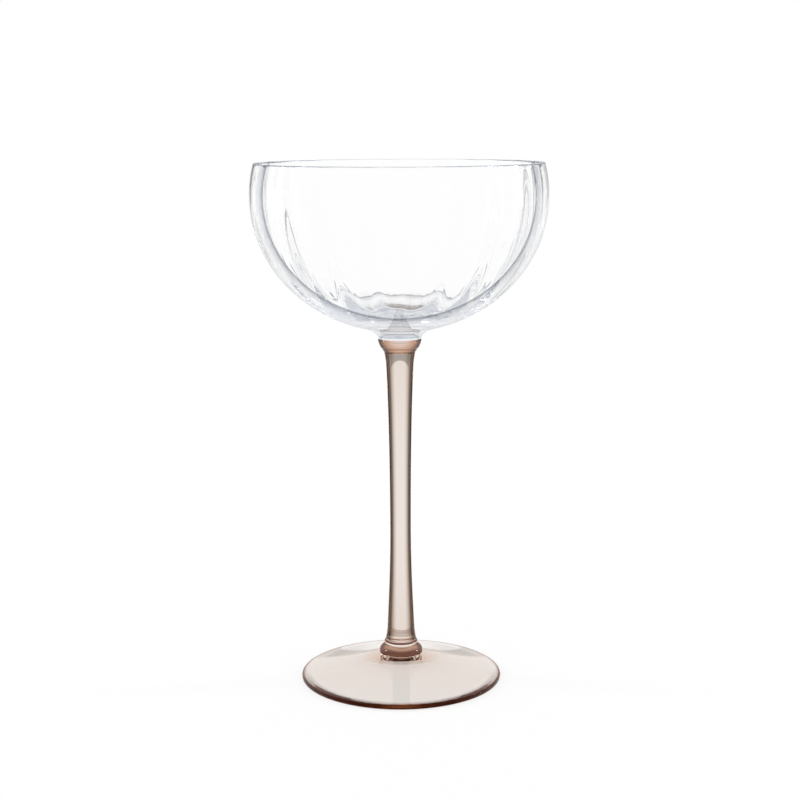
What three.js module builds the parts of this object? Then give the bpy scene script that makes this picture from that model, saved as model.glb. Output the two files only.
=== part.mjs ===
// Champagne coupe: a clear ribbed bowl on a tinted stem and foot, with a collar at each end of the stem.
// Millimetres, +Z up, origin at the centre of the ring that the foot stands on.
import * as THREE from 'three';

// Foot
const footRadius = 37;
const footEdgeHeight = 1.9;
const footLandHeight = 9.6;
const footHollowRise = 6.6;
const restRingOuter = 35.6;
const restRingWidth = 2.6;

// Collars: one at each end of the stem, the wide face away from the stem and a small ring next to it.
// Fullness is how far the flank swells: a round bead below, a straighter flare above.
const collarHeight = 4.8;
const collarWideRadius = 7.9;
const collarGrooveHeight = 3.2;
const beadGrooveRadius = 5.95;
const flareGrooveRadius = 6.9;
const collarRingRadius = 6.3;
const collarEdgeRound = 0.3;
const beadFullness = 1.15;
const flareFullness = 0.8;

// Stem
const stemLength = 108;
const stemEndRadius = 5.6;
const stemWaistRadius = 3.8;
const stemWaistShare = 0.4;

// Bowl: the outside is one ellipse, cut level at the rim
const bowlHeight = 62.8;
const bowlRadius = 53.3;
const bellyToRim = 12;
const bowlNeckHeight = 2.4;
const bowlBaseRadius = 14;

// Wall of the bowl: even at the sides, thinner towards the lip and swelling to a thick floor
const bowlWall = 1.3;
const lipWall = 0.9;
const lipTaperLength = 25;
const floorSwell = 4.9;
const floorSwellRadius = 44;

// Ribs: soft waves on the inside of the bowl, from its floor to its lip
const ribCount = 20;
const ribDepth = 0.55;
const ribStartRadius = 20;
const ribFullRadius = 40;
const ribShareAtLip = 0.5;
const ribFirstCrestDegrees = 13.5;

// Facets of the turned surfaces
const stemSides = 32;
const footSides = 60;
const sidesPerRib = 4;

// Heights worked out from the sizes above
const stemBottom = footLandHeight + collarHeight;
const stemTop = stemBottom + stemLength;
const bowlBottom = stemTop + collarHeight;
const rimHeight = bowlBottom + bowlHeight;
const bellyHeight = rimHeight - bellyToRim;
const bowlDepthBelowBelly = bowlHeight - bellyToRim - bowlNeckHeight;

const clearGlass = new THREE.MeshStandardMaterial({
  color: 0xe9edf0,
  roughness: 0.03,
  metalness: 0,
  transparent: true,
  opacity: 0.4,
});
const tintedGlass = new THREE.MeshStandardMaterial({
  color: 0xd2b7a6,
  roughness: 0.03,
  metalness: 0,
  transparent: true,
  opacity: 0.6,
});

const point = (radius, height) => new THREE.Vector2(radius, height);

// Turns a profile of (radius, height) points round the Z axis.
function turned(profile, sides) {
  return new THREE.LatheGeometry(profile, sides).rotateX(Math.PI / 2);
}

function named(name, geometry, material) {
  const mesh = new THREE.Mesh(geometry, material);
  mesh.name = name;
  return mesh;
}

// A smooth curve from one point to another, pulled towards the control point.
function bend(from, control, to, steps) {
  return new THREE.QuadraticBezierCurve(from, control, to).getPoints(steps);
}

// The foot: a shallow cone with a rounded edge, hollow underneath, flat where it rests and under the collar.
function footProfile() {
  const ringInner = restRingOuter - restRingWidth;
  const edgeMiddle = footEdgeHeight / 2;
  const underside = new THREE.CubicBezierCurve(
    point(0, footHollowRise),
    point(ringInner * 0.27, footHollowRise),
    point(ringInner * 0.52, footHollowRise * 0.52),
    point(ringInner, 0),
  ).getPoints(9);
  const lowerEdge = bend(
    point(restRingOuter, 0),
    point(footRadius, 0),
    point(footRadius, edgeMiddle),
    3,
  );
  const upperEdge = bend(
    point(footRadius, edgeMiddle),
    point(footRadius, footEdgeHeight),
    point(footRadius - edgeMiddle, footEdgeHeight),
    3,
  );
  const slopeStart = footRadius - edgeMiddle;
  const slopeMiddle = point(
    collarWideRadius + (slopeStart - collarWideRadius) * 0.45,
    footEdgeHeight + (footLandHeight - footEdgeHeight) * 0.43,
  );
  const slope = bend(
    point(slopeStart, footEdgeHeight),
    slopeMiddle,
    point(collarWideRadius, footLandHeight),
    6,
  );
  return [
    ...underside,
    ...lowerEdge,
    ...upperEdge.slice(1),
    ...slope.slice(1),
    point(0, footLandHeight),
  ];
}

// A collar, wide end first, measured up from its wide face: the flank, a groove and the small ring.
function collarProfile(fullness, grooveRadius) {
  const groove = point(grooveRadius, collarGrooveHeight);
  const swell = collarWideRadius - grooveRadius;
  const flank = bend(
    point(collarWideRadius, collarEdgeRound * 2),
    point(grooveRadius + swell * fullness, collarGrooveHeight * 0.55),
    groove,
    5,
  );
  const ring = new THREE.CubicBezierCurve(
    groove,
    point(collarRingRadius, collarGrooveHeight + collarEdgeRound / 2),
    point(collarRingRadius, collarHeight - collarEdgeRound),
    point(stemEndRadius, collarHeight),
  ).getPoints(5);
  return [
    point(0, 0),
    point(collarWideRadius - collarEdgeRound, 0),
    ...flank,
    ...ring.slice(1),
    point(0, collarHeight),
  ];
}

// The stem: slowly waisted, with flared ends.
function stemProfile() {
  const waist = stemBottom + stemLength * stemWaistShare;
  const lower = new THREE.CubicBezierCurve(
    point(stemEndRadius, stemBottom + collarEdgeRound),
    point(stemWaistRadius + (stemEndRadius - stemWaistRadius) * 0.55, stemBottom + stemLength * 0.13),
    point(stemWaistRadius, stemBottom + stemLength * 0.25),
    point(stemWaistRadius, waist),
  ).getPoints(8);
  const upper = new THREE.CubicBezierCurve(
    point(stemWaistRadius, waist),
    point(stemWaistRadius, waist + stemLength * 0.22),
    point(stemWaistRadius + (stemEndRadius - stemWaistRadius) * 0.3, stemTop - stemLength * 0.16),
    point(stemEndRadius, stemTop - collarEdgeRound),
  ).getPoints(8);
  const endFaceRadius = stemEndRadius - collarEdgeRound;
  return [
    point(0, stemBottom),
    point(endFaceRadius, stemBottom),
    ...lower,
    ...upper.slice(1),
    point(endFaceRadius, stemTop),
    point(0, stemTop),
  ];
}

// A point of the bowl's outer ellipse, by its angle from the belly.
function bowlOutside(angle) {
  return point(bowlRadius * Math.cos(angle), bellyHeight + bowlDepthBelowBelly * Math.sin(angle));
}

// The point of the inside that lies square behind a point of the outer ellipse.
function bowlInside(outer) {
  const inward = Math.max(0, 1 - outer.x / floorSwellRadius);
  const swell = floorSwell * (1 - Math.cos(Math.PI * inward)) / 2;
  const towardsLip = Math.max(0, 1 - (rimHeight - outer.y) / lipTaperLength);
  const wall = bowlWall + swell - (bowlWall - lipWall) * towardsLip;
  const square = point(outer.x / bowlRadius ** 2, (outer.y - bellyHeight) / bowlDepthBelowBelly ** 2);
  return outer.clone().addScaledVector(square.normalize(), -wall);
}

// The bowl before its ribs: the base on the collar, the outer ellipse, the lip and the inside.
// Each row also says how far the ribs press it: not at all outside, fully inside.
function bowlRows() {
  const baseAngle = -Math.acos(bowlBaseRadius / bowlRadius);
  const rimAngle = Math.asin((bellyToRim - lipWall / 2) / bowlDepthBelowBelly);
  const base = bowlOutside(baseAngle);
  const rim = bowlOutside(rimAngle);

  // The ellipse's tangent at the base point is carried in to just outside the collar.
  const tangentRise = (bowlDepthBelowBelly / bowlRadius) / -Math.tan(baseAngle);
  const neckRadius = collarWideRadius + 0.6;
  const neck = point(neckRadius, base.y - (base.x - neckRadius) * tangentRise);
  const joint = point(collarWideRadius - collarEdgeRound, bowlBottom);
  const fillet = bend(joint, neck, base, 4);

  const outerSteps = 13;
  const outside = [];
  for (let i = 1; i <= outerSteps; i += 1) {
    outside.push(bowlOutside(baseAngle + (rimAngle - baseAngle) * (i / outerSteps)));
  }

  const innerSteps = 14;
  const inside = [];
  for (let i = 0; i < innerSteps; i += 1) {
    inside.push(bowlInside(bowlOutside(rimAngle - (rimAngle + Math.PI / 2) * (i / innerSteps))));
  }
  const floor = point(0, bowlInside(bowlOutside(-Math.PI / 2)).y);

  // The lip is half round, from the outside over to the inside.
  const lipMiddle = rim.clone().add(inside[0]).multiplyScalar(0.5);
  const lipRise = rimHeight - lipMiddle.y;
  const lipAt = (turn) => point(
    lipMiddle.x + (rim.x - lipMiddle.x) * Math.cos(turn),
    lipMiddle.y + (rim.y - lipMiddle.y) * Math.cos(turn) + lipRise * Math.sin(turn),
  );
  const lip = [0.25, 0.5, 0.75].map((share) => ({ spot: lipAt(Math.PI * share), press: share }));

  const pressed = (press) => (spot) => ({ spot, press });
  return [
    ...[point(0, bowlBottom), ...fillet, ...outside].map(pressed(0)),
    ...lip,
    ...[...inside, floor].map(pressed(1)),
  ];
}

// Presses the ribs: the inside moves towards the middle of the bowl, furthest between two lobes.
function ribbedBowl() {
  const rows = bowlRows();
  const geometry = turned(rows.map((row) => row.spot), ribCount * sidesPerRib);
  const position = geometry.attributes.position;
  const middle = new THREE.Vector3(0, 0, bellyHeight);
  const firstCrest = THREE.MathUtils.degToRad(ribFirstCrestDegrees);
  const spot = new THREE.Vector3();
  const inward = new THREE.Vector3();
  for (let i = 0; i < position.count; i += 1) {
    const { press } = rows[i % rows.length];
    spot.fromBufferAttribute(position, i);
    inward.subVectors(middle, spot).normalize();
    const aroundFromCrest = Math.atan2(spot.x, -spot.y) - firstCrest;
    const hollow = Math.sin(aroundFromCrest * ribCount / 2) ** 2;
    const fromFloor = THREE.MathUtils.smoothstep(Math.hypot(spot.x, spot.y), ribStartRadius, ribFullRadius);
    const towardsLip = THREE.MathUtils.smoothstep(spot.z, bellyHeight, rimHeight);
    const share = fromFloor * (1 - (1 - ribShareAtLip) * towardsLip);
    spot.addScaledVector(inward, press * ribDepth * hollow * share);
    position.setXYZ(i, spot.x, spot.y, spot.z);
  }
  return geometry;
}

const lowerCollar = turned(collarProfile(beadFullness, beadGrooveRadius), stemSides)
  .translate(0, 0, footLandHeight);
const upperCollar = turned(collarProfile(flareFullness, flareGrooveRadius), stemSides)
  .rotateX(Math.PI)
  .translate(0, 0, bowlBottom);

const coupe = new THREE.Group();
coupe.add(
  named('bowl', ribbedBowl(), clearGlass),
  named('upper_collar', upperCollar, tintedGlass),
  named('stem', turned(stemProfile(), stemSides), tintedGlass),
  named('lower_collar', lowerCollar, tintedGlass),
  named('foot', turned(footProfile(), footSides), tintedGlass),
);

export default coupe;
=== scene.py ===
# %% [markdown]
# # A champagne coupe
# The real glass is five pieces of hot glass fused into one: a clear ribbed bowl, a tinted stem with a
# collar at each end, and a tinted foot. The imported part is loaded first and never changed, because it
# fixes where every piece sits. Its solids could carry the finish themselves, but their facets would
# show as soon as light bends in them, so each is replaced by a finer piece in the same place.

# %% Load the frame
import math

import bpy
from mathutils import Matrix, Vector


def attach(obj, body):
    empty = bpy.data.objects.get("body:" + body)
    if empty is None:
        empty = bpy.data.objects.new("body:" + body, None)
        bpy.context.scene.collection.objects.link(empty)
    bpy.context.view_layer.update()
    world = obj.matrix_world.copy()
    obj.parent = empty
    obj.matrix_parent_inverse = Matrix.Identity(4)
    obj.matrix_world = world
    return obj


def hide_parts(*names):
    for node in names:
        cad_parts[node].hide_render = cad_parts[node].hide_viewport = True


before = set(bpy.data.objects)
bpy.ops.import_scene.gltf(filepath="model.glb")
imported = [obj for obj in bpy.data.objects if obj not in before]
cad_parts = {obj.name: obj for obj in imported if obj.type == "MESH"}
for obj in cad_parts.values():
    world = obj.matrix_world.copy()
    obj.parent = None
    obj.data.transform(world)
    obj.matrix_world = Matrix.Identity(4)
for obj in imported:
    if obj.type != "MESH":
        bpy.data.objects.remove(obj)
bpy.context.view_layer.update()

MM = 0.001

# %% [markdown]
# ## The stack of heights
# The pieces stand on each other: foot, collar, stem, collar, bowl. These are the part's own sizes in
# millimetres, so that the finer pieces fill the same space. They could be measured on the loaded
# solids, but the few numbers that drive the shape are easier to read and to change. A height that
# follows from others is worked out.

# %% Sizes that the pieces share, in millimetres
FOOT_RADIUS = 37.0
FOOT_LAND_HEIGHT = 9.6
COLLAR_HEIGHT = 4.8
COLLAR_WIDE_RADIUS = 7.9
COLLAR_EDGE_ROUND = 0.3
STEM_LENGTH = 108.0
STEM_END_RADIUS = 5.6
BOWL_HEIGHT = 62.8

STEM_BOTTOM = FOOT_LAND_HEIGHT + COLLAR_HEIGHT
STEM_TOP = STEM_BOTTOM + STEM_LENGTH
BOWL_BOTTOM = STEM_TOP + COLLAR_HEIGHT
RIM_HEIGHT = BOWL_BOTTOM + BOWL_HEIGHT
print("stem from", STEM_BOTTOM, "to", STEM_TOP, "bowl from", BOWL_BOTTOM, "to", RIM_HEIGHT)

# %% [markdown]
# ## Drawing a half outline
# Blown and drawn glass is round, so a piece is a half outline turned about the upright axis. Two kinds
# of line are enough: a Bezier curve, which runs smoothly from one point to another and is pulled by
# the points between them, and an arc of an ellipse. A curve object could hold the same lines, but
# plain (radius, height) pairs can be joined and measured with ordinary Python.

# %% Lines of an outline


def bend(points, steps):
    """Points along a Bezier curve with any number of control points."""
    degree = len(points) - 1
    curve = []
    for step in range(steps + 1):
        t = step / steps
        weights = [math.comb(degree, k) * (1 - t) ** (degree - k) * t**k for k in range(degree + 1)]
        radius = sum(w * p[0] for w, p in zip(weights, points))
        height = sum(w * p[1] for w, p in zip(weights, points))
        curve.append((radius, height))
    return curve


def ellipse(centre, across, down, start, end, steps):
    """Points on an ellipse about (0, centre), between two angles."""
    turns = [start + (end - start) * step / steps for step in range(steps + 1)]
    return [(across * math.cos(turn), centre + down * math.sin(turn)) for turn in turns]


print("a bend in two steps:", bend([(1, 0), (1, 1), (0, 1)], 2))

# %% [markdown]
# ## Turning the outline
# The Screw modifier or bmesh's spin could turn it, but writing the rings by hand closes the poles and
# the seam exactly. That matters for glass: one open edge, and the light leaks out of the solid.
#
# Where two pieces are fused there is no air between them. A gap of a fiftieth of a millimetre keeps
# their faces apart, and those faces carry an attribute named "fused", which the glass reads.

# %% A turned piece
JOINT_GAP = 0.02
ON_AXIS = 1e-6
SAME_HEIGHT = 0.001
SHARP_DEGREES = 35


def turned(name, outline, sides, joints):
    """A closed piece of the outline turned about the Z axis, its faces at the joints marked as fused."""
    vertices = []
    rings = []
    for radius, height in outline:
        around = 1 if radius < ON_AXIS else sides
        rings.append(range(len(vertices), len(vertices) + around))
        for i in range(around):
            angle = math.tau * i / sides
            vertices.append((radius * math.sin(angle) * MM, -radius * math.cos(angle) * MM, height * MM))
    faces = []
    for low, high in zip(rings, rings[1:]):
        for i in range(sides):
            j = (i + 1) % sides
            corners = [low[i % len(low)], low[j % len(low)], high[j % len(high)], high[i % len(high)]]
            faces.append(list(dict.fromkeys(corners)))
    mesh = bpy.data.meshes.new(name)
    mesh.from_pydata(vertices, [], faces)
    mesh.shade_smooth()
    mesh.set_sharp_from_angle(angle=math.radians(SHARP_DEGREES))
    fused = mesh.attributes.new("fused", "FLOAT", "FACE")
    for polygon in mesh.polygons:
        heights = [mesh.vertices[v].co.z / MM for v in polygon.vertices]
        flat = any(max(abs(h - joint) for h in heights) < SAME_HEIGHT for joint in joints)
        fused.data[polygon.index].value = 1.0 if flat else 0.0
    piece = bpy.data.objects.new(name, mesh)
    bpy.context.scene.collection.objects.link(piece)
    marked = sum(1 for face in fused.data if face.value > 0)
    print(name, len(mesh.polygons), "faces,", marked, "of them fused")
    return piece


# %% [markdown]
# ## Nodes and colours
# Materials, the studio and the ribs are all node trees. One small function adds any node with its
# settings, its values and its links. Another turns a colour as it is seen on a screen into the linear
# numbers in which light is counted. Clicking the nodes together by hand would look the same, but a
# script can be read and run again.

# %% A colour helper and a node helper
WHITE = "#FFFFFF"


def colour(hex_code):
    """Linear RGBA of an sRGB hex colour."""
    channels = [int(hex_code[i:i + 2], 16) / 255 for i in (1, 3, 5)]
    linear = [c / 12.92 if c <= 0.04045 else ((c + 0.055) / 1.055) ** 2.4 for c in channels]
    return (*linear, 1.0)


def add(tree, kind, inputs=None, stops=(), **settings):
    """Adds a node with its settings and colour stops, and gives each named input a value or a link."""
    made = tree.nodes.new(kind)
    for name, value in settings.items():
        setattr(made, name, value)
    for number, (position, hex_code) in enumerate(stops):
        ramp = made.color_ramp.elements
        if number == len(ramp):
            ramp.new(position)
        ramp[number].position = position
        ramp[number].color = colour(hex_code)
    for name, value in (inputs or {}).items():
        if isinstance(value, bpy.types.NodeSocket):
            tree.links.new(value, made.inputs[name])
        else:
            made.inputs[name].default_value = value
    return made


print("half grey on screen is", round(colour("#808080")[0], 3), "in light")

# %% [markdown]
# ## Glass
# All pieces are soda-lime glass, polished by the flame: smooth, with an index of refraction of 1.52.
# A tint belongs in the glass, not on it. Volume Absorption takes light away with distance, which
# leaves a thin wall pale and makes a thick place deep in colour. Hand work leaves a slow waviness,
# some millimetres long, and a faint bump gives it.
#
# The eye reads the shape of glass from the lines where its surface turns away. Dark surroundings could
# draw them, but they would have to be set up for each view. Here Layer Weight tells how far a face is
# turned away, and a colour ramp darkens the glass by it, so that every view has its lines. Real glass
# has no such ramp: it is a stand-in.
#
# A fused face doesn't bend the light, so there the index goes to 1 and the shade to white.

# %% One recipe for glass
GLASS_IOR = 1.52
NO_BENDING = 1.0
WAVINESS_LENGTH = 9.0
WAVINESS_HEIGHT = 0.02
EDGE_INDEX_STARTS = 0.4
EDGE_INDEX_FULL = 0.65


def glass(name, tint, density, stops, by_reach=False, joined=True, edge_index=None, reflection=WHITE):
    """Solid glass with a body colour, and painted shade by its slant to the eye or its reach from the
    axis.
    """
    material = bpy.data.materials.new(name)
    material.use_nodes = True
    tree = material.node_tree
    tree.nodes.clear()
    place = add(tree, "ShaderNodeTexCoord").outputs["Object"]
    if by_reach:
        share = 1 / (FOOT_RADIUS * MM)
        flat = add(tree, "ShaderNodeVectorMath", {0: place, 1: (share, share, 0.0)}, operation="MULTIPLY")
        reach = add(tree, "ShaderNodeVectorMath", {0: flat.outputs[0]}, operation="LENGTH")
        measure = reach.outputs["Value"]
    else:
        measure = add(tree, "ShaderNodeLayerWeight", {"Blend": 0.5}).outputs["Facing"]
    # Painted shade: the ramp darkens the glass by its slant to the eye, or by its reach from the axis.
    shade = add(tree, "ShaderNodeValToRGB", {"Fac": measure}, stops=stops).outputs["Color"]
    index = GLASS_IOR
    if edge_index:
        index = add(tree, "ShaderNodeMapRange", {
            "Value": measure,
            "From Min": EDGE_INDEX_STARTS,
            "From Max": EDGE_INDEX_FULL,
            "To Min": GLASS_IOR,
            "To Max": edge_index,
        }, interpolation_type="SMOOTHSTEP").outputs["Result"]
    if joined:
        fused = add(tree, "ShaderNodeAttribute", attribute_name="fused").outputs["Fac"]
        shade = add(tree, "ShaderNodeMix", {
            0: fused,
            6: shade,
            7: colour(WHITE),
        }, data_type="RGBA").outputs[2]
        index = add(tree, "ShaderNodeMapRange", {
            "Value": fused,
            "To Min": index,
            "To Max": NO_BENDING,
        }).outputs["Result"]
    waves = add(tree, "ShaderNodeTexNoise", {
        "Vector": place,
        "Scale": 1 / (WAVINESS_LENGTH * MM),
        "Detail": 1.0,
    })
    bump = add(tree, "ShaderNodeBump", {
        "Height": waves.outputs["Fac"],
        "Strength": 1.0,
        "Distance": WAVINESS_HEIGHT * MM,
    })
    surface = add(tree, "ShaderNodeBsdfPrincipled", {
        "Base Color": shade,
        "Roughness": 0.0,
        "Transmission Weight": 1.0,
        "Specular Tint": colour(reflection),
        "IOR": index,
        "Normal": bump.outputs["Normal"],
    })
    body = add(tree, "ShaderNodeVolumeAbsorption", {"Color": colour(tint), "Density": density})
    add(tree, "ShaderNodeOutputMaterial", {
        "Surface": surface.outputs["BSDF"],
        "Volume": body.outputs["Volume"],
    })
    print("material:", name, "with", len(stops), "shades")
    return material


# %% [markdown]
# ## The clear glass
# The bowl was blown in a mould from clear glass. Nothing made of sand is quite colourless: a faint
# grey body colour doesn't show in a wall of a millimetre, but it turns the thick base grey. Painted
# shade by slant adds two lines: a thin dark one where the wall begins to turn away, and a soft grey
# one at the very edge. A tinted surface would be simpler, but it would grey the wall as much as the base.

# %% Clear glass, mould-blown
# To the eye: a wall that is hardly there, a grey base, crisp lines of painted shade at the sides.
CLEAR_TINT = "#CBD1DA"
CLEAR_DENSITY = 11.0
BOWL_PAINTED_SHADE = (
    (0.575, WHITE),
    (0.585, "#3C4048"),
    (0.62, "#B8BCC4"),
    (0.70, WHITE),
    (0.80, WHITE),
    (0.90, "#989CA4"),
)
clear_glass = glass(
    "clear soda-lime glass, mould-blown",
    CLEAR_TINT,
    CLEAR_DENSITY,
    BOWL_PAINTED_SHADE,
    joined=False,
)

# %% [markdown]
# ## The rose-brown glass
# Stem, collars and foot are one melt, tinted rose-brown. They are worked in different ways, and light
# crosses them along very different paths, so each gets its own depth of colour from the same recipe.
# One material for all of them would be simpler, but a depth that suits the stem leaves the thin foot
# too pale and the lower collar too dark.
#
# In a white room the edges of real glass come out pale, because they mirror the room. On this glass
# they are brown with painted shade. So the index of stem and collars falls towards their edges, which
# lets the light through there, and the mirror tint of stem and foot is brown. Both are stand-ins too.

# %% Rose-brown glass of the stem, drawn
# To the eye: a pale beige core between two dark brown edges of painted shade.
STEM_TINT = "#BE8B48"
STEM_DENSITY = 47.0
STEM_EDGE_INDEX = 1.06
STEM_REFLECTION = "#5A4030"
STEM_PAINTED_SHADE = (
    (0.08, WHITE),
    (0.22, "#B0A090"),
    (0.33, "#4C4036"),
    (0.42, "#0C0906"),
    (0.56, "#6A5644"),
    (0.75, "#C4B09C"),
)
stem_glass = glass(
    "rose-brown soda-lime glass, drawn",
    STEM_TINT,
    STEM_DENSITY,
    STEM_PAINTED_SHADE,
    edge_index=STEM_EDGE_INDEX,
    reflection=STEM_REFLECTION,
)

# %% Rose-brown glass of the collars, pressed
# To the eye: the same glass in a short thick knot, with painted shade that is redder and darker towards
# its sides.
COLLAR_TINT = "#C88440"
COLLAR_EDGE_INDEX = 1.3
FLARE_DENSITY = 45.0
BEAD_DENSITY = 10.0
FLARE_PAINTED_SHADE = ((0.06, WHITE), (0.2, "#DCB498"), (0.42, "#7A543C"), (0.75, "#2A1A10"))
BEAD_PAINTED_SHADE = ((0.30, WHITE), (0.60, "#DCB090"), (0.9, "#5A3C2A"))
upper_collar_glass = glass(
    "rose-brown soda-lime glass, pressed flare",
    COLLAR_TINT,
    FLARE_DENSITY,
    FLARE_PAINTED_SHADE,
    edge_index=COLLAR_EDGE_INDEX,
)
lower_collar_glass = glass(
    "rose-brown soda-lime glass, pressed bead",
    COLLAR_TINT,
    BEAD_DENSITY,
    BEAD_PAINTED_SHADE,
    edge_index=COLLAR_EDGE_INDEX,
)

# %% Rose-brown glass of the foot, spun
# To the eye: a pale sheet with a deep brown edge, from thick glass and from painted shade by its reach
# from the axis.
FOOT_TINT = "#C58930"
FOOT_DENSITY = 78.0
FOOT_REFLECTION = "#B47850"
FOOT_EDGE_COLOUR_AND_SHADE = ((0.955, WHITE), (0.985, "#D4AC8E"), (1.0, "#B48868"))
foot_glass = glass(
    "rose-brown soda-lime glass, spun",
    FOOT_TINT,
    FOOT_DENSITY,
    FOOT_EDGE_COLOUR_AND_SHADE,
    by_reach=True,
    reflection=FOOT_REFLECTION,
)

# %% [markdown]
# ## The bowl
# The outside of the bowl is one ellipse, cut level at the rim, with a small fillet down to the collar.
# The inside lies square behind it: a thin lip, an even wall, and a floor that swells to a thick base.
# Solidify could give a wall, but only an even one. The plain shape is turned first, and the ribs,
# which follow a rule, are pressed in after it.

# %% Sizes of the bowl, in millimetres
BOWL_RADIUS = 53.3
BELLY_TO_RIM = 12.0
BOWL_NECK_HEIGHT = 2.4
BOWL_NECK_OVERHANG = 0.6
BOWL_BASE_RADIUS = 14.0
BOWL_WALL = 1.3
LIP_WALL = 0.9
LIP_TAPER_LENGTH = 25.0
FLOOR_SWELL = 4.9
FLOOR_SWELL_RADIUS = 44.0

BELLY_HEIGHT = RIM_HEIGHT - BELLY_TO_RIM
BOWL_DEPTH = BOWL_HEIGHT - BELLY_TO_RIM - BOWL_NECK_HEIGHT


def wall_at(radius, height):
    """Thickness of the bowl's wall, square to its outside, at that point of its outside."""
    inward = max(0.0, 1 - radius / FLOOR_SWELL_RADIUS)
    swell = FLOOR_SWELL * (1 - math.cos(math.pi * inward)) / 2
    towards_lip = max(0.0, 1 - (RIM_HEIGHT - height) / LIP_TAPER_LENGTH)
    return BOWL_WALL + swell - (BOWL_WALL - LIP_WALL) * towards_lip


def inside_of(outer):
    """The point of the inner face that lies square behind a point of the outer ellipse."""
    radius, height = outer
    square = Vector((radius / BOWL_RADIUS**2, (height - BELLY_HEIGHT) / BOWL_DEPTH**2)).normalized()
    place = Vector(outer) - square * wall_at(radius, height)
    return (max(place.x, 0.0), place.y)


print("wall at the belly", BOWL_WALL, "at the floor", wall_at(0.0, BOWL_BOTTOM), "mm")

# %% The bowl's outline
OUTSIDE_STEPS = 60
INSIDE_STEPS = 72
FILLET_STEPS = 12
LIP_STEPS = 10


def bowl_outline():
    """The bowl's half outline, and for each point how far the ribs press it: 0 outside, 1 inside."""
    base_angle = -math.acos(BOWL_BASE_RADIUS / BOWL_RADIUS)
    rim_angle = math.asin((BELLY_TO_RIM - LIP_WALL / 2) / BOWL_DEPTH)
    outside = ellipse(BELLY_HEIGHT, BOWL_RADIUS, BOWL_DEPTH, base_angle, rim_angle, OUTSIDE_STEPS)
    base, rim = outside[0], outside[-1]

    # The ellipse's tangent at the base is carried in to just outside the collar.
    tangent_rise = (BOWL_DEPTH / BOWL_RADIUS) / -math.tan(base_angle)
    neck_radius = COLLAR_WIDE_RADIUS + BOWL_NECK_OVERHANG
    neck = (neck_radius, base[1] - (base[0] - neck_radius) * tangent_rise)
    bottom = BOWL_BOTTOM + JOINT_GAP
    joint = (COLLAR_WIDE_RADIUS - COLLAR_EDGE_ROUND, bottom)
    fillet = bend([joint, neck, base], FILLET_STEPS)

    whole = ellipse(BELLY_HEIGHT, BOWL_RADIUS, BOWL_DEPTH, rim_angle, -math.pi / 2, INSIDE_STEPS)
    inside = [inside_of(outer) for outer in whole]
    inside[-1] = (0.0, inside[-1][1])

    # The lip is half round, from the outside over to the inside.
    lip_middle = (Vector(rim) + Vector(inside[0])) / 2
    across = Vector(rim) - lip_middle
    upward = Vector((0.0, RIM_HEIGHT - lip_middle.y))
    shares = [step / LIP_STEPS for step in range(1, LIP_STEPS)]
    lip = [
        tuple(lip_middle + across * math.cos(math.pi * share) + upward * math.sin(math.pi * share))
        for share in shares
    ]
    outer = [(0.0, bottom), *fillet[:-1], *outside]
    pressed = [0.0] * len(outer) + shares + [1.0] * len(inside)
    return [*outer, *lip, *inside], pressed


outline_points, press_shares = bowl_outline()
print("bowl outline:", len(outline_points), "points")

# %% The bowl before its ribs
RIB_COUNT = 20
SIDES_PER_RIB = 18
BOWL_SIDES = RIB_COUNT * SIDES_PER_RIB

plain_bowl = turned("plain_bowl", outline_points, BOWL_SIDES, [])
press = plain_bowl.data.attributes.new("press", "FLOAT", "POINT")
spread = []
for (radius, height), share in zip(outline_points, press_shares):
    spread += [share] * (1 if radius < ON_AXIS else BOWL_SIDES)
press.data.foreach_set("value", spread)
print("press values:", len(spread))

# %% [markdown]
# ## The ribs
# A ribbed mould leaves soft upright waves, and blowing the bowl on against a smooth mould evens out
# its outside, so the waves are left on the inside. Each point there moves towards the middle of the
# bowl, by a sine squared round the axis. The waves fade out before the floor and grow shallow at the
# lip. Sculpting would do for one glass, but a tree with named sizes can make the next one with others.

# %% The rule of one rib, in nodes


def rib_hollow(tree, given, place):
    """How hollow a place is, by its angle round the axis: 0 on a crest, 1 between two crests."""
    to_viewer = add(tree, "ShaderNodeMath", {0: place["Y"], 1: -1.0}, operation="MULTIPLY")
    around = add(tree, "ShaderNodeMath", {0: place["X"], 1: to_viewer.outputs[0]}, operation="ARCTAN2")
    from_crest = add(tree, "ShaderNodeMath", {
        0: around.outputs[0],
        1: given["First Crest"],
    }, operation="SUBTRACT")
    half_count = add(tree, "ShaderNodeMath", {0: given["Rib Count"], 1: 0.5}, operation="MULTIPLY")
    phase = add(tree, "ShaderNodeMath", {
        0: from_crest.outputs[0],
        1: half_count.outputs[0],
    }, operation="MULTIPLY")
    wave = add(tree, "ShaderNodeMath", {0: phase.outputs[0]}, operation="SINE")
    hollow = add(tree, "ShaderNodeMath", {0: wave.outputs[0], 1: wave.outputs[0]}, operation="MULTIPLY")
    return hollow.outputs[0]


def rib_share(tree, given, place):
    """How much of the ribs' depth a place gets: none on the floor, part of it at the lip."""
    flat = add(tree, "ShaderNodeCombineXYZ", {"X": place["X"], "Y": place["Y"]})
    radius = add(tree, "ShaderNodeVectorMath", {0: flat.outputs[0]}, operation="LENGTH")
    from_floor = add(tree, "ShaderNodeMapRange", {
        "Value": radius.outputs["Value"],
        "From Min": given["Start Radius"],
        "From Max": given["Full Radius"],
    }, interpolation_type="SMOOTHSTEP")
    at_lip = add(tree, "ShaderNodeMapRange", {
        "Value": place["Z"],
        "From Min": given["Belly Height"],
        "From Max": given["Rim Height"],
        "To Min": 1.0,
        "To Max": given["Share At Lip"],
    }, interpolation_type="SMOOTHSTEP")
    share = add(tree, "ShaderNodeMath", {
        0: from_floor.outputs["Result"],
        1: at_lip.outputs["Result"],
    }, operation="MULTIPLY")
    return share.outputs[0]


print("rib rule: a hollow between crests, times a share of the depth")

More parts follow.
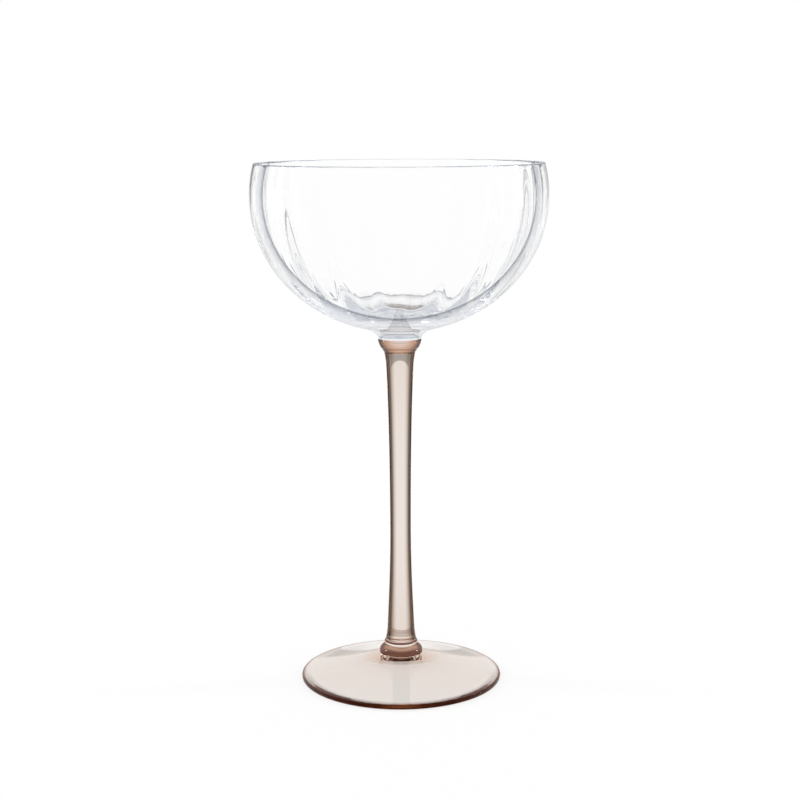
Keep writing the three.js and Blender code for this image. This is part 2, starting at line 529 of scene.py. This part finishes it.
# %% A tree that presses ribs
RIB_DEPTH = 0.55
RIB_START_RADIUS = 20.0
RIB_FULL_RADIUS = 40.0
RIB_SHARE_AT_LIP = 0.5
RIB_FIRST_CREST_DEGREES = 13.5
RIB_SIZES = {
    "Rib Count": float(RIB_COUNT),
    "Rib Depth": RIB_DEPTH * MM,
    "First Crest": math.radians(RIB_FIRST_CREST_DEGREES),
    "Belly Height": BELLY_HEIGHT * MM,
    "Rim Height": RIM_HEIGHT * MM,
    "Start Radius": RIB_START_RADIUS * MM,
    "Full Radius": RIB_FULL_RADIUS * MM,
    "Share At Lip": RIB_SHARE_AT_LIP,
}


def rib_tree():
    """A node tree that moves each point of the bowl inwards by its share of the ribs."""
    tree = bpy.data.node_groups.new("press ribs", "GeometryNodeTree")
    sockets = tree.interface
    sockets.new_socket("Geometry", in_out="INPUT", socket_type="NodeSocketGeometry")
    for name in RIB_SIZES:
        sockets.new_socket(name, in_out="INPUT", socket_type="NodeSocketFloat")
    sockets.new_socket("Glass", in_out="INPUT", socket_type="NodeSocketMaterial")
    sockets.new_socket("Geometry", in_out="OUTPUT", socket_type="NodeSocketGeometry")

    given = add(tree, "NodeGroupInput").outputs
    point = add(tree, "GeometryNodeInputPosition").outputs["Position"]
    place = add(tree, "ShaderNodeSeparateXYZ", {"Vector": point}).outputs
    side = add(tree, "GeometryNodeInputNamedAttribute", {"Name": "press"}, data_type="FLOAT")
    sided = add(tree, "ShaderNodeMath", {
        0: rib_share(tree, given, place),
        1: side.outputs["Attribute"],
    }, operation="MULTIPLY")
    depth = add(tree, "ShaderNodeMath", {
        0: sided.outputs[0],
        1: given["Rib Depth"],
    }, operation="MULTIPLY")
    push = add(tree, "ShaderNodeMath", {
        0: depth.outputs[0],
        1: rib_hollow(tree, given, place),
    }, operation="MULTIPLY")

    middle = add(tree, "ShaderNodeCombineXYZ", {"Z": given["Belly Height"]})
    way_in = add(tree, "ShaderNodeVectorMath", {0: middle.outputs[0], 1: point}, operation="SUBTRACT")
    inward = add(tree, "ShaderNodeVectorMath", {0: way_in.outputs[0]}, operation="NORMALIZE")
    move = add(tree, "ShaderNodeVectorMath", {
        0: inward.outputs[0],
        "Scale": push.outputs[0],
    }, operation="SCALE")
    pressed = add(tree, "GeometryNodeSetPosition", {
        "Geometry": given["Geometry"],
        "Offset": move.outputs[0],
    })
    solid = add(tree, "GeometryNodeRealizeInstances", {"Geometry": pressed.outputs[0]})
    glazed = add(tree, "GeometryNodeSetMaterial", {
        "Geometry": solid.outputs[0],
        "Material": given["Glass"],
    })
    add(tree, "NodeGroupOutput", {"Geometry": glazed.outputs[0]})
    return tree


ribs = rib_tree()
print("rib tree:", len(ribs.nodes), "nodes,", len(RIB_SIZES), "sizes")

# %% Press the ribs


def pressed_bowl(plain):
    """The ribbed bowl as a plain mesh, in place of the bowl without ribs."""
    modifier = plain.modifiers.new("ribs", "NODES")
    modifier.node_group = ribs
    values = {**RIB_SIZES, "Glass": clear_glass}
    for socket in ribs.interface.items_tree:
        if socket.in_out == "INPUT" and socket.name in values:
            modifier[socket.identifier] = values[socket.name]
    seen = plain.evaluated_get(bpy.context.evaluated_depsgraph_get())
    mesh = bpy.data.meshes.new_from_object(seen)
    plain.modifiers.remove(modifier)
    bpy.data.objects.remove(plain)
    piece = bpy.data.objects.new("ribbed_bowl", mesh)
    bpy.context.scene.collection.objects.link(piece)
    print("ribbed_bowl", len(mesh.polygons), "faces, materials", [m.name for m in mesh.materials])
    return piece


bowl = pressed_bowl(plain_bowl)

# %% [markdown]
# ## The stem
# The stem is a solid rod, drawn out of the hot glass so that it is thinnest a little below its middle,
# with a short flare where it runs into each collar. A cylinder with moved loops would do, but two
# Bezier curves that meet at the waist give one smooth line, and light in glass shows every kink.

# %% Stem
ROUND_SIDES = 128
STEM_WAIST_RADIUS = 3.8
STEM_WAIST_SHARE = 0.4
STEM_FLARE = 0.4
STEM_FLARE_LENGTH = 5.0
STEM_STEPS = 60

STEM_CURVE_END = STEM_END_RADIUS - STEM_FLARE

# Points that pull the stem's two curves: a share of the swell from waist to end, and a share of the
# stem's length. The outline says from which height that length is counted.
LOWER_END_PULL = (0.55, 0.13)
LOWER_WAIST_PULL = (0.0, 0.25)
UPPER_WAIST_PULL = (0.0, 0.22)
UPPER_END_PULL = (0.3, 0.16)


def pulled(pull, start, direction):
    """The point for a pull, counted up from the start where direction is 1 and down where it is -1."""
    swell, along = pull
    radius = STEM_WAIST_RADIUS + (STEM_CURVE_END - STEM_WAIST_RADIUS) * swell
    return (radius, start + direction * STEM_LENGTH * along)


def stem_outline():
    """The stem's half outline, from its lower face to its upper one."""
    waist = STEM_BOTTOM + STEM_LENGTH * STEM_WAIST_SHARE
    lower = bend([
        (STEM_CURVE_END, STEM_BOTTOM + COLLAR_EDGE_ROUND),
        pulled(LOWER_END_PULL, STEM_BOTTOM, 1),
        pulled(LOWER_WAIST_PULL, STEM_BOTTOM, 1),
        (STEM_WAIST_RADIUS, waist),
    ], STEM_STEPS)
    upper = bend([
        (STEM_WAIST_RADIUS, waist),
        pulled(UPPER_WAIST_PULL, waist, 1),
        pulled(UPPER_END_PULL, STEM_TOP, -1),
        (STEM_CURVE_END, STEM_TOP - COLLAR_EDGE_ROUND),
    ], STEM_STEPS)
    side = []
    for radius, height in (*lower, *upper[1:]):
        from_end = min(height - STEM_BOTTOM, STEM_TOP - height) - COLLAR_EDGE_ROUND
        near_end = max(0.0, 1 - from_end / STEM_FLARE_LENGTH)
        side.append((radius + STEM_FLARE * near_end**2, height))
    face = STEM_END_RADIUS - COLLAR_EDGE_ROUND
    low = STEM_BOTTOM + JOINT_GAP
    high = STEM_TOP - JOINT_GAP
    return [(0.0, low), (face, low), *side, (face, high), (0.0, high)]


stem = turned("drawn_stem", stem_outline(), ROUND_SIDES, [STEM_BOTTOM + JOINT_GAP, STEM_TOP - JOINT_GAP])

# %% [markdown]
# ## The collars
# A collar is a knot of glass pressed round each end of the stem: a wide face away from the stem, a
# flank, a groove and a small ring. The lower one is a full round bead and the upper one a straighter
# flare, so one outline with two values, how far the flank swells and how deep the groove is, makes
# both. The upper collar's wide face isn't marked as fused: the clear bowl ends there, and a bright
# line shows the change of glass.

# %% Collars
COLLAR_GROOVE_HEIGHT = 3.2
COLLAR_RING_RADIUS = 6.3
BEAD_GROOVE_RADIUS = 5.95
FLARE_GROOVE_RADIUS = 6.9
BEAD_FULLNESS = 1.15
FLARE_FULLNESS = 0.8
FLANK_PULL_SHARE = 0.55
FLANK_STEPS = 20
RING_STEPS = 12


def collar_outline(wide_face, away, fullness, groove_radius):
    """A collar from its wide face, going up where away is 1 and down where it is -1."""
    groove = (groove_radius, COLLAR_GROOVE_HEIGHT)
    swell = COLLAR_WIDE_RADIUS - groove_radius
    flank = bend([
        (COLLAR_WIDE_RADIUS, COLLAR_EDGE_ROUND * 2),
        (groove_radius + swell * fullness, COLLAR_GROOVE_HEIGHT * FLANK_PULL_SHARE),
        groove,
    ], FLANK_STEPS)
    ring_end = COLLAR_HEIGHT - JOINT_GAP
    ring = bend([
        groove,
        (COLLAR_RING_RADIUS, COLLAR_GROOVE_HEIGHT + COLLAR_EDGE_ROUND / 2),
        (COLLAR_RING_RADIUS, COLLAR_HEIGHT - COLLAR_EDGE_ROUND),
        (STEM_END_RADIUS, ring_end),
    ], RING_STEPS)
    wide = [(0.0, JOINT_GAP), (COLLAR_WIDE_RADIUS - COLLAR_EDGE_ROUND, JOINT_GAP)]
    outline = [*wide, *flank, *ring[1:], (0.0, ring_end)]
    placed = [(radius, wide_face + away * height) for radius, height in outline]
    return placed if away > 0 else placed[::-1]


lower_collar = turned(
    "lower_collar_knot",
    collar_outline(FOOT_LAND_HEIGHT, 1, BEAD_FULLNESS, BEAD_GROOVE_RADIUS),
    ROUND_SIDES,
    [FOOT_LAND_HEIGHT + JOINT_GAP, STEM_BOTTOM - JOINT_GAP],
)
upper_collar = turned(
    "upper_collar_knot",
    collar_outline(BOWL_BOTTOM, -1, FLARE_FULLNESS, FLARE_GROOVE_RADIUS),
    ROUND_SIDES,
    [STEM_TOP + JOINT_GAP],
)

# %% [markdown]
# ## The foot
# The foot is spun out of a drop of glass into a shallow cone, hollow underneath, and stands on a flat
# ring just inside its edge. A flat disc would be simpler, but its even thickness would be brown all
# over: the cone is thin, which keeps it pale, and its rounded edge is the only deep place.

# %% Foot
FOOT_EDGE_HEIGHT = 1.9
FOOT_HOLLOW_RISE = 6.6
REST_RING_OUTER = 35.6
REST_RING_WIDTH = 2.6
UNDERSIDE_STEPS = 40
SLOPE_STEPS = 40
EDGE_STEPS = 8

# Points that pull the curves of the foot: shares of the way out and of the way up.
HOLLOW_TOP_PULL = (0.27, 1.0)
HOLLOW_SIDE_PULL = (0.52, 0.52)
SLOPE_PULL = (0.45, 0.43)


def foot_outline():
    """The foot's half outline: the hollow, the resting ring, the edge, the slope and the flat land."""
    ring_inner = REST_RING_OUTER - REST_RING_WIDTH
    edge_middle = FOOT_EDGE_HEIGHT / 2
    slope_start = FOOT_RADIUS - edge_middle
    hollow_pulls = [
        (ring_inner * out, FOOT_HOLLOW_RISE * up) for out, up in (HOLLOW_TOP_PULL, HOLLOW_SIDE_PULL)
    ]
    underside = bend([(0.0, FOOT_HOLLOW_RISE), *hollow_pulls, (ring_inner, 0.0)], UNDERSIDE_STEPS)
    lower_edge = bend([
        (REST_RING_OUTER, 0.0),
        (FOOT_RADIUS, 0.0),
        (FOOT_RADIUS, edge_middle),
    ], EDGE_STEPS)
    upper_edge = bend([
        (FOOT_RADIUS, edge_middle),
        (FOOT_RADIUS, FOOT_EDGE_HEIGHT),
        (slope_start, FOOT_EDGE_HEIGHT),
    ], EDGE_STEPS)
    out, up = SLOPE_PULL
    slope_pull = (
        COLLAR_WIDE_RADIUS + (slope_start - COLLAR_WIDE_RADIUS) * out,
        FOOT_EDGE_HEIGHT + (FOOT_LAND_HEIGHT - FOOT_EDGE_HEIGHT) * up,
    )
    land = FOOT_LAND_HEIGHT - JOINT_GAP
    slope = bend([(slope_start, FOOT_EDGE_HEIGHT), slope_pull, (COLLAR_WIDE_RADIUS, land)], SLOPE_STEPS)
    return [*underside, *lower_edge, *upper_edge[1:], *slope[1:], (0.0, land)]


foot = turned("spun_foot", foot_outline(), ROUND_SIDES, [FOOT_LAND_HEIGHT - JOINT_GAP])

# %% [markdown]
# ## Onto the frame
# Nothing on a glass moves, so every piece rides on the one body. Each finer piece replaces the solid
# of the same place. The bowl already has its material from the tree. The others get theirs here.

# %% Put the pieces on the frame
for piece, node_name, slot_name, finish in (
    (bowl, "bowl", "clear_glass", clear_glass),
    (upper_collar, "upper_collar", "tinted_glass", upper_collar_glass),
    (stem, "stem", "tinted_glass", stem_glass),
    (lower_collar, "lower_collar", "tinted_glass", lower_collar_glass),
    (foot, "foot", "tinted_glass", foot_glass),
):
    if not piece.data.materials:
        piece.data.materials.append(finish)
    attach(piece, "root")
    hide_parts(node_name)
    print(node_name, "is now", piece.name, "of", finish.name)

# %% [markdown]
# ## The studio
# Clear glass has no look of its own: it shows what stands round it. A white room all round makes it
# bright. The one thing in the room is a soft grey flag far behind the glass, just above the horizon,
# with an arched lower edge. It is seen through the glass alone and gives the bright core of the stem a
# round upper end. A card in the scene would do too, but it would have to be hidden from the camera.
# Light crosses many faces in glass, so it is allowed many more bounces than is usual.

# %% A white room
LIGHT_BOUNCES = 96

scene = bpy.context.scene
scene.view_settings.view_transform = "Standard"
scene.cycles.max_bounces = LIGHT_BOUNCES
scene.cycles.transmission_bounces = LIGHT_BOUNCES
scene.cycles.glossy_bounces = LIGHT_BOUNCES
world = bpy.data.worlds.new("white studio with a grey flag")
scene.world = world
world.use_nodes = True
sky = world.node_tree
sky.nodes.clear()
print("world:", world.name, "with", LIGHT_BOUNCES, "bounces")

# %% Where the flag hangs
FLAG_LOW_DEGREES = -1.5
FLAG_FULL_DEGREES = 0.5
FLAG_TOP_DEGREES = 5.0
FLAG_GONE_DEGREES = 8.0
FLAG_WIDE_DEGREES = 27.0
FLAG_END_DEGREES = 33.0
FLAG_SAG_DEGREES = 5.0
FLAG_SAG_TURN_DEGREES = 30.0

# A direction is two angles: how far it turns from straight behind the glass, and how high it lifts.
way = add(sky, "ShaderNodeTexCoord").outputs["Generated"]
xyz = add(sky, "ShaderNodeSeparateXYZ", {"Vector": way}).outputs
sideways = add(sky, "ShaderNodeMath", {0: xyz["X"]}, operation="ABSOLUTE").outputs[0]
turn = add(sky, "ShaderNodeMath", {0: sideways, 1: xyz["Y"]}, operation="ARCTAN2").outputs[0]
lift = add(sky, "ShaderNodeMath", {0: xyz["Z"]}, operation="ARCSINE").outputs[0]

# The flag's lower edge hangs lower towards its sides.
turn_squared = add(sky, "ShaderNodeMath", {0: turn, 1: turn}, operation="MULTIPLY").outputs[0]
arched_lift = add(sky, "ShaderNodeMath", {
    0: turn_squared,
    1: math.radians(FLAG_SAG_DEGREES) / math.radians(FLAG_SAG_TURN_DEGREES) ** 2,
    2: lift,
}, operation="MULTIPLY_ADD").outputs[0]
flag = 1.0
for angle, outer_degrees, inner_degrees in (
    (arched_lift, FLAG_LOW_DEGREES, FLAG_FULL_DEGREES),
    (lift, FLAG_GONE_DEGREES, FLAG_TOP_DEGREES),
    (turn, FLAG_END_DEGREES, FLAG_WIDE_DEGREES),
):
    edge = add(sky, "ShaderNodeMapRange", {
        "Value": angle,
        "From Min": math.radians(outer_degrees),
        "From Max": math.radians(inner_degrees),
    }, interpolation_type="SMOOTHSTEP").outputs["Result"]
    flag = add(sky, "ShaderNodeMath", {0: flag, 1: edge}, operation="MULTIPLY").outputs[0]
print("flag:", 2 * FLAG_WIDE_DEGREES, "degrees wide, up to", FLAG_TOP_DEGREES, "degrees high")

# %% What the camera and the glass see
FLAG_LEVEL = 0.5

flag_light = add(sky, "ShaderNodeMapRange", {
    "Value": flag,
    "To Min": 1.0,
    "To Max": FLAG_LEVEL,
}, interpolation_type="SMOOTHSTEP").outputs["Result"]
seen_in_glass = add(sky, "ShaderNodeBackground", {"Color": colour(WHITE), "Strength": flag_light})
seen_direct = add(sky, "ShaderNodeBackground", {"Color": colour(WHITE), "Strength": 1.0})
backdrop = add(sky, "ShaderNodeMixShader", {
    "Fac": add(sky, "ShaderNodeLightPath").outputs["Is Camera Ray"],
    1: seen_in_glass.outputs[0],
    2: seen_direct.outputs[0],
})
add(sky, "ShaderNodeOutputWorld", {"Surface": backdrop.outputs[0]})
print("world:", len(sky.nodes), "nodes")

# %% [markdown]
# ## The floor
# The glass stands on white paper. Lit paper alone would be a little grey beside the white room, so for
# rays that come from the camera or out of the glass most of it is plain white of strength 1. The rest
# stays matte paper, which keeps the faint shadow of the glass. It lies a hair below the foot, so that
# no two faces share a place.

# %% Floor, in millimetres
FLOOR_HALF = 200.0
FLOOR_DROP = 0.05
FLOOR_WHITE_SHARE = 0.75
PAPER = "#F2F2F2"

floor_mesh = bpy.data.meshes.new("floor")
half = FLOOR_HALF * MM
corners = [(-half, -half, 0), (half, -half, 0), (half, half, 0), (-half, half, 0)]
floor_mesh.from_pydata(corners, [], [(0, 1, 2, 3)])
floor = bpy.data.objects.new("floor", floor_mesh)
floor.location.z = -FLOOR_DROP * MM
scene.collection.objects.link(floor)

sweep = bpy.data.materials.new("white paper sweep")
sweep.use_nodes = True
paper = sweep.node_tree
paper.nodes.clear()
path = add(paper, "ShaderNodeLightPath").outputs
seen = path["Is Camera Ray"]
for kind_of_ray in ("Is Glossy Ray", "Is Transmission Ray"):
    seen = add(paper, "ShaderNodeMath", {0: seen, 1: path[kind_of_ray]}, operation="MAXIMUM").outputs[0]
white_share = add(paper, "ShaderNodeMath", {0: seen, 1: FLOOR_WHITE_SHARE}, operation="MULTIPLY")
matte = add(paper, "ShaderNodeBsdfDiffuse", {"Color": colour(PAPER)})
white = add(paper, "ShaderNodeEmission", {"Color": colour(WHITE), "Strength": 1.0})
mixed = add(paper, "ShaderNodeMixShader", {
    "Fac": white_share.outputs[0],
    1: matte.outputs[0],
    2: white.outputs[0],
})
add(paper, "ShaderNodeOutputMaterial", {"Surface": mixed.outputs[0]})
floor_mesh.materials.append(sweep)
print("floor:", 2 * FLOOR_HALF, "mm wide")

# %% [markdown]
# ## The lamps
# The white room gives most of the light. Two slim softboxes, one at each side, add thin highlights and
# a little direction to the shadow. One broad lamp would light the floor as well, but glass would
# mirror it as a broad white stripe.

# %% Lamps, placed in metres
LAMP_WATTS = 0.95
LAMP_WIDTH = 0.05
LAMP_HEIGHT = 0.3
LAMP_ASIDE = 0.6
LAMP_BEHIND = 0.1
LAMP_ABOVE = 0.25
LAMP_AIM = Vector((0.0, 0.0, 0.12))

for side, aside in (("left", -LAMP_ASIDE), ("right", LAMP_ASIDE)):
    place = Vector((aside, LAMP_BEHIND, LAMP_ABOVE))
    lamp = bpy.data.lights.new(f"softbox {side}", "AREA")
    lamp.shape = "RECTANGLE"
    lamp.size = LAMP_WIDTH
    lamp.size_y = LAMP_HEIGHT
    lamp.energy = LAMP_WATTS
    softbox = bpy.data.objects.new(f"softbox {side}", lamp)
    softbox.location = place
    softbox.rotation_euler = (LAMP_AIM - place).to_track_quat("-Z", "Y").to_euler()
    scene.collection.objects.link(softbox)
    print(softbox.name, round((LAMP_AIM - place).length, 2), "m from the glass")

# %% [markdown]
# ## The camera
# The camera's place was worked out from the ellipses that the rim and the foot make in the photograph:
# their flatness gives the angle, and the way it changes with height gives the distance. It could be
# set by eye, but then the shape of the glass would be corrected for a wrong lens. The glass leans a
# quarter of a degree in the picture, so the camera is rolled by that much.

# %% Camera, placed in metres
CAMERA_DISTANCE = 0.5793
CAMERA_HEIGHT = 0.20545
CAMERA_TILT_DEGREES = 9.88
CAMERA_ROLL_DEGREES = -0.25
LENS_LENGTH = 72.8
SENSOR_WIDTH = 36.0

lens = bpy.data.cameras.new("camera")
lens.lens = LENS_LENGTH
lens.sensor_width = SENSOR_WIDTH
camera = bpy.data.objects.new("camera", lens)
camera.location = (0.0, -CAMERA_DISTANCE, CAMERA_HEIGHT)
upright = Matrix.Rotation(math.radians(90 - CAMERA_TILT_DEGREES), 3, "X")
roll = Matrix.Rotation(math.radians(CAMERA_ROLL_DEGREES), 3, "Z")
camera.rotation_euler = (upright @ roll).to_euler()
scene.collection.objects.link(camera)
scene.camera = camera
print("camera:", round(math.degrees(lens.angle), 1), "degrees wide")
